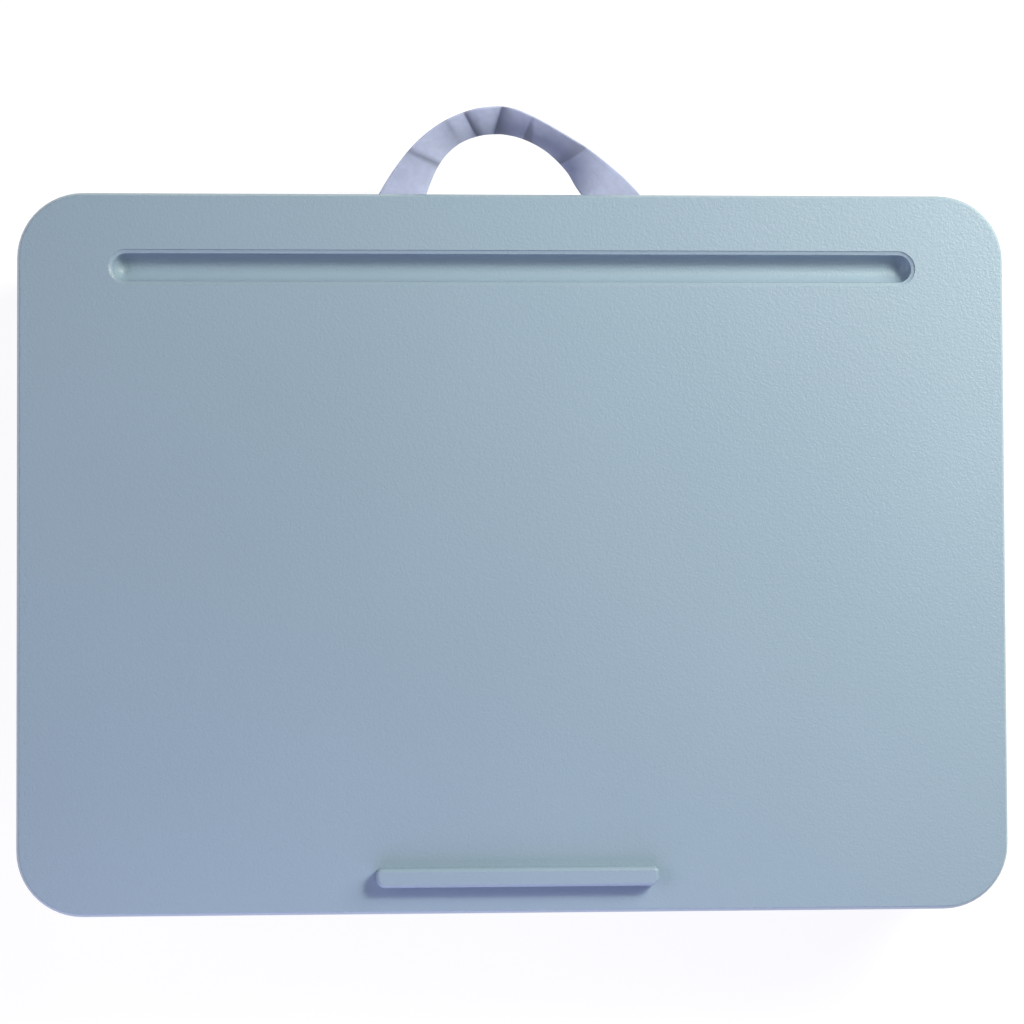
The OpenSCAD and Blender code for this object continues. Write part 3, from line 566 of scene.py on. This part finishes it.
def make_cushion():
    """The stuffed cover, closed by the face that its filling shows to the board, and its piping."""
    around = perimeter()
    count = len(around)
    rings = side_rings(around)
    inner, grid = panel_inside(rings[-1])
    points = np.vstack([*rings, inner])
    faces = ring_faces(len(rings), count)
    faces += grid_faces(grid, (len(rings) - 1) * count, len(rings) * count, count)
    seam = range(SIDE_RINGS * count, (SIDE_RINGS + 1) * count)
    points = stuff(points, faces, list(range(count)), list(seam))
    points[:, 2] -= points[:, 2].min()

    # The folded edge goes before the side's first ring, and the filling's face closes the top
    top = folded_edge(around)
    top_inner, top_grid = panel_inside(top[0])
    start = len(top) * count
    all_points = np.vstack([*top, points, top_inner])
    all_faces = ring_faces(len(top) + 1, count)
    all_faces += [[q + start for q in face] for face in faces]
    all_faces += grid_faces(top_grid, 0, len(all_points) - len(top_inner), count, flip=True)
    cushion = make_object("cushion", all_points, all_faces)
    store_cloth_place(cushion, flat_places(all_points, count, len(top) + len(rings)))
    smooth = cushion.modifiers.new("smooth", "SUBSURF")
    smooth.levels = smooth.render_levels = 1
    apply_modifiers(cushion)

    seam_line = points[seam]
    seam_line[:, :2] += around[:, 2:] * PIPING_R * PIPING_OUT
    return cushion, closed_tube("cushion_piping", seam_line, PIPING_R, PIPING_SIDES)


# The carry strap, in millimetres. Each row is one line across it, seen from above: x and reach behind
# the root line, of its outer edge and then of its inner one. It swings about its root line, so the
# joint gives that line's place.
STRAP_EDGES = [
    (-67.5, 0, -47.5, 0), (-66.5, 6, -46.8, 3), (-64, 12.5, -44.6, 7.7), (-60, 19.2, -42, 12.2),
    (-55.8, 26.2, -39.4, 16.6), (-51.6, 32.2, -37.1, 23), (-45.8, 39.4, -33.8, 30.6),
    (-37.8, 47, -29, 37.4), (-28.3, 53.2, -22.3, 42.7), (-16.7, 57.7, -13.7, 45.8),
    (-5.6, 59.1, -5.4, 46.5), (1.7, 58.1, -0.6, 46), (8.2, 55.6, 4.2, 44.9), (15, 52.3, 10, 42.6),
    (22.3, 48.2, 16.2, 39), (29.6, 43.8, 21.8, 34.1), (36.7, 39.3, 26.8, 28.3),
    (43, 34.6, 30.6, 21.7), (49.2, 29.5, 34.7, 16.2), (54.9, 24.2, 40.2, 10.9),
    (60, 18.5, 44.3, 6.6), (64.4, 11.2, 46.6, 3), (66.9, 4.6, 47.3, 1), (67.5, 0, 47.5, 0),
]
strap_joint = next(j for j in frame["record"]["behaviour"]["joints"] if j["name"] == "strap_swing")
STRAP_ROOT_Y, STRAP_Z = (round(value / MM, 3) for value in strap_joint["pos_m"][1:])
STRAP_TAIL = 24.0
STRAP_HALF_W = 10.0
STRAP_HALF_T = 0.5
STRAP_STEP = 0.5
STRAP_COLUMNS = 25
SPLINE_STEPS = 40
# Where the band is this narrow from above, its cloth is gathered to this share of its width
STRAP_NARROW = 11.5
STRAP_GATHER = 0.94
# How much of the roll across the strap is a cup, rather than a tilt of the whole width
STRAP_CUP = 0.7
# The way that folds and the roll lift the cloth: up, and a little towards the user and the left
STRAP_LIFT = (-0.059, -0.157, 1.0)
# The points round each edge of the tape, as turns up from the plane of the cloth
EDGE_TURNS_DEG = (60, 30, 0, -30, -60)
# Folds across the strap. Each row is one line from the inner edge to the outer one: the length along
# the strap from its top at each edge, and how steeply the cloth rises to the right there, in percent.
STRAP_FOLDS = [
    (-60, -60, 0, 0), (-52, -51, 11, -4), (-46, -46, 14, 4), (-41, -43, 16, 8), (-38.3, -41.3, 52, 42),
    (-36, -39, 0, 4), (-33, -36, -16, -8), (-28, -28, 0, 0), (-24, -23.6, 5, 8), (-22, -22, 11, 26),
    (-20, -20.2, 0, -4), (-16.5, -18, -16, -17), (-12.6, -14.5, -22, -13), (-11.9, -13.8, 89, 68),
    (-9.8, -11.4, 46, 17), (-7.7, -8.6, -5, 0), (-5, -3.4, -52, -37), (-3.1, 0.7, -59, -26),
    (-2.4, 1.5, 85, 71), (1.8, 4.4, 59, 22), (6, 6.6, 27, 4), (9, 10, 0, 0), (12.2, 12.8, -22, -4),
    (13.4, 13.7, -32, -4), (14, 14.2, 99, 22), (18.5, 14.8, 73, 4), (20.3, 15.6, -16, -4),
    (24, 20, -27, -8), (29, 28, 0, 0), (32, 34, 22, 13), (36.2, 40.2, 66, 47), (37.2, 41.4, -22, -17),
    (42, 46, -16, -7), (49, 52, 14, 0), (60, 60, 0, 0),
]
# The length over which fold heights fade, and the slope at which the cloth faces fully left and takes
# its full painted shade
FOLD_REACH = 18.0
FOLD_STEEP = 0.7


def spline(rows, steps):
    """A Catmull-Rom spline through the rows, with this many steps between them."""
    rows = np.array([rows[0], *rows, rows[-1]], float)
    t = (np.arange(steps) / steps)[:, None]
    spans = [
        0.5
        * (
            2 * b
            + (c - a) * t
            + (2 * a - 5 * b + 4 * c - d) * t**2
            + (3 * b - a - 3 * c + d) * t**3
        )
        for a, b, c, d in zip(rows, rows[1:], rows[2:], rows[3:])
    ]
    return np.vstack([*spans, rows[-1]])


def strap_line():
    """Evenly spaced rows along the strap, tails included: the outer edge's and the inner edge's x and
    y, and the length from the top of the arch."""
    fine = spline(STRAP_EDGES, SPLINE_STEPS) + (0, STRAP_ROOT_Y, 0, STRAP_ROOT_Y)
    tail = (0, STRAP_TAIL, 0, STRAP_TAIL)
    fine = np.vstack([fine[0] - tail, fine, fine[-1] - tail])
    centre = (fine[:, :2] + fine[:, 2:]) / 2
    run = run_along(centre)
    run -= run[np.argmax(centre[:, 1])]
    at = np.linspace(run[0], run[-1], round((run[-1] - run[0]) / STRAP_STEP) + 1)
    rows = [np.interp(at, run, fine[:, k]) for k in range(4)]
    return np.column_stack([*rows, at])


def folds(at):
    """Height of the folds at each length along the strap, in columns from its inner edge to its outer
    one, and how fully the cloth faces left, from 0 to 1, which sets how much painted shade it gets."""
    inner, outer, slope_in, slope_out = np.array(STRAP_FOLDS, float).T
    slope_in, slope_out = slope_in / 100, slope_out / 100
    slopes = np.empty((len(at), STRAP_COLUMNS))
    for k, share in enumerate(np.linspace(0, 1, STRAP_COLUMNS)):
        knots = inner + (outer - inner) * share
        slopes[:, k] = np.interp(at, knots, slope_in + (slope_out - slope_in) * share)
    # Heights are summed from both ends. They fade, so that the folds don't add up along the strap.
    height = np.zeros((2, len(at), STRAP_COLUMNS))
    keep = 1 - STRAP_STEP / FOLD_REACH
    for k in range(1, len(at)):
        height[0, k] = height[0, k - 1] * keep + slopes[k] * STRAP_STEP
        height[1, -k - 1] = height[1, -k] * keep - slopes[-k] * STRAP_STEP
    return height.mean(axis=0), np.clip(slopes / FOLD_STEEP, 0, 1)


def rolled_section(spread):
    """How far each column of the strap lies out from its middle and above it, where the band looks
    this far spread from above. It turns down more and more from its outer edge to its inner one."""
    open_share = np.clip((spread - STRAP_NARROW) / (2 * STRAP_HALF_W - STRAP_NARROW), 0, 1)
    width = 2 * STRAP_HALF_W * (STRAP_GATHER + (1 - STRAP_GATHER) * open_share)
    roll = np.arccos(np.clip(spread / width, -1, 1))
    half_cup = STRAP_CUP * roll / 2
    middle = np.arccos(np.clip(np.cos(roll) / np.sinc(half_cup / math.pi), -1, 1))
    tilt = middle - half_cup * np.linspace(-1, 1, STRAP_COLUMNS)
    tilt = (tilt[:, 1:] + tilt[:, :-1]) / 2
    step = (width - 2 * STRAP_HALF_T) / (STRAP_COLUMNS - 1)
    start = np.zeros((len(spread), 1))
    out = np.hstack([start, np.cumsum(np.cos(tilt) * step, axis=1)])
    rise = np.hstack([start, np.cumsum(np.sin(tilt) * step, axis=1)])
    return out - out[:, -1:] / 2, rise - rise[:, -1:] / 2


def strap_sheet(rows, height):
    """The middle of the cloth, as rows of points along the strap with columns across it."""
    outer, inner = rows[:, :2], rows[:, 2:4]
    spread = np.linalg.norm(outer - inner, axis=1)[:, None]
    outwards = np.column_stack([(outer - inner) / spread, np.zeros(len(rows))])[:, None]
    centre = np.column_stack([(outer + inner) / 2, np.full(len(rows), STRAP_Z)])[:, None]
    out, rise = rolled_section(spread)
    return centre + outwards * out[:, :, None] + np.array(STRAP_LIFT) * (rise + height)[:, :, None]


def strap_skin(sheet):
    """The two faces of the cloth and the round edges between them, as one ring of points a row."""
    normal = np.cross(np.gradient(sheet, axis=1), np.gradient(sheet, axis=0))
    normal /= -np.linalg.norm(normal, axis=2, keepdims=True)
    outwards = np.cross(normal, np.gradient(sheet, axis=0))
    outwards /= np.linalg.norm(outwards, axis=2, keepdims=True)

    def round_edge(column, side, turns):
        up = normal[:, column, None] * np.sin(turns)[:, None]
        out = side * outwards[:, column, None] * np.cos(turns)[:, None]
        return sheet[:, column, None] + STRAP_HALF_T * (up + out)

    turns = np.radians(EDGE_TURNS_DEG)
    upper, lower = sheet + STRAP_HALF_T * normal, sheet - STRAP_HALF_T * normal
    outer_edge, inner_edge = round_edge(-1, 1, turns), round_edge(0, -1, turns[::-1])
    return np.concatenate([upper, outer_edge, lower[:, ::-1], inner_edge], axis=1)


def round_skin(values):
    """The values of the cloth's columns, for each point of the rings round its skin."""
    outer_edge, inner_edge = (
        np.repeat(values[:, [column]], len(EDGE_TURNS_DEG), axis=1) for column in (-1, 0)
    )
    return np.hstack([values, outer_edge, values[:, ::-1], inner_edge])


def make_strap():
    """The strap, one thin folded tape from clamp to clamp."""
    rows = strap_line()
    height, painted_fold_side = folds(rows[:, 4])
    skin = strap_skin(strap_sheet(rows, height))
    count, sides = skin.shape[:2]
    faces = ring_faces(count, sides)
    faces += [list(range(sides)), list(range((count - 1) * sides, count * sides))[::-1]]
    strap = make_object("carry_strap", skin.reshape(-1, 3) * MM, faces)
    places = np.zeros((count, sides, 3))
    places[:, :, 0] = rows[:, [4]]
    places[:, :, 1] = round_skin(np.linspace(-STRAP_HALF_W, STRAP_HALF_W, STRAP_COLUMNS)[None])
    store_cloth_place(strap, places * MM)
    # The share of painted shade on each fold's left-facing side, for the strap's cloth
    store(strap, "painted_fold_side", "FLOAT", "value", round_skin(painted_fold_side))
    return strap


def make_camera():
    data = bpy.data.cameras.new("camera")
    data.lens = LENS_MM
    data.sensor_width = SENSOR_MM
    data.clip_start = CLIP_START
    camera = add_to_scene("camera", data)
    camera.location = lid_top + CAMERA_FROM_LID
    camera.rotation_mode = "ZYX"
    camera.rotation_euler = [math.radians(a) for a in CAMERA_TILT_DEG]
    bpy.context.scene.camera = camera


def make_lamp(name, place, size, power):
    """A square lamp that faces the middle of the lid's top. Its light has its own strength in each of
    red, green and blue."""
    data = bpy.data.lights.new(name, "AREA")
    data.size = size
    data.energy = max(power)
    data.color = [p / max(power) for p in power]
    lamp = add_to_scene(name, data)
    lamp.location = lid_top + Vector(place)
    lamp.visible_camera = False
    lamp.rotation_euler = Vector(place).to_track_quat("Z", "Y").to_euler()


def make_room():
    """The faint even light from all round."""
    world = bpy.data.worlds.new("room")
    world.use_nodes = True
    background = world.node_tree.nodes["Background"]
    background.inputs["Color"].default_value = (*ROOM_LIGHT, 1.0)
    background.inputs["Strength"].default_value = 1.0
    bpy.context.scene.world = world


def make_floor():
    corners = [(x * FLOOR_HALF, y * FLOOR_HALF, 0) for x, y in ((-1, -1), (1, -1), (1, 1), (-1, 1))]
    floor = make_object("floor", corners, [(0, 1, 2, 3)])
    material, _, shader = new_material("floor")
    shader.inputs["Base Color"].default_value = (*FLOOR_COLOUR, 1.0)
    shader.inputs["Roughness"].default_value = 0.9
    shader.inputs["Specular IOR Level"].default_value = 0.0
    shader.inputs["Emission Color"].default_value = (1.0, 1.0, 1.0, 1.0)
    shader.inputs["Emission Strength"].default_value = FLOOR_GLOW
    set_material(floor, material)


dress_solids()
cushion_cloth = cloth("cushion_cloth", CLOTH_COLOUR, thread=0.0011, weight=1.0, sheen=0.25)
piping_cloth = cloth("piping_cloth", shade(CLOTH_COLOUR, 0.9), thread=0.0009, weight=1.0, sheen=0.25)
# The strap's cloth gets painted shade, up to half darker, on the left-facing sides of its folds
strap_cloth = cloth("strap_cloth", STRAP_COLOUR, thread=0.0006, weight=1.5, sheen=0.12, painted_fold_shade=0.5)
cushion, piping = make_cushion()
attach(cushion, "base")
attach(piping, "base")
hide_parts("cushion_cover", "cushion_filling")
strap = make_strap()
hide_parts("handle_strap", "handle_ends")
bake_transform(strap)
for piece, material, slot in (
    (cushion, cushion_cloth, "cushion_cloth"),
    (piping, piping_cloth, "cushion_cloth"),
    (strap, strap_cloth, "strap_cloth"),
):
    set_material(piece, material)
make_camera()
for lamp in LAMPS:
    make_lamp(*lamp)
make_room()
make_floor()
bpy.context.scene.view_settings.view_transform = "Standard"
